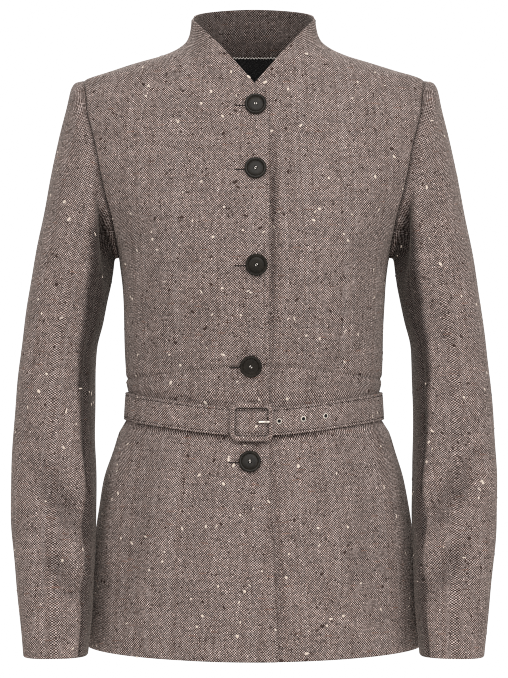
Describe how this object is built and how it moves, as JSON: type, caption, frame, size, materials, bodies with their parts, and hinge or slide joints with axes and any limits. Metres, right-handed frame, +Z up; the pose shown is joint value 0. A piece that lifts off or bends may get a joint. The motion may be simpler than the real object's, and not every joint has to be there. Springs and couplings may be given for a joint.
{
  "type": "belted tweed jacket",
  "caption": "Fitted hip-length tweed jacket in hollow worn form, with a stand-up collar, overlapping buttoned front, long sleeves and a waist belt with a covered buckle.",
  "frame": {"origin": "between the wearer's shoulders, where the collar rises from them, in the plane of the side seams", "axes": "+Z up along the body, -Y out of the front, +X to the wearer's left"},
  "size_m": [0.518, 0.2661, 0.6959],
  "materials": {
    "tweed": "brown and beige woollen tweed with pale neps, matt",
    "lining": "near-black woven lining with a soft sheen",
    "horn": "dark brown horn-like, satin",
    "nickel": "pale nickel plate"
  },
  "bodies": {
    "root": {"front_bodice_right": "tweed", "front_bodice_left": "tweed", "front_skirt_right": "tweed", "front_skirt_left": "tweed", "back_bodice_right": "tweed", "back_bodice_left": "tweed", "back_skirt_right": "tweed", "back_skirt_left": "tweed", "collar_facing": "tweed", "back_lining": "lining", "upper_sleeve_right": "tweed", "upper_sleeve_left": "tweed", "under_sleeve_right": "tweed", "under_sleeve_left": "tweed", "belt_strap": "tweed", "buckle_frame": "tweed", "buckle_prong": "nickel", "button_1": "horn", "button_2": "horn", "button_3": "horn", "button_4": "horn", "button_5": "horn"}
  },
  "joints": []
}
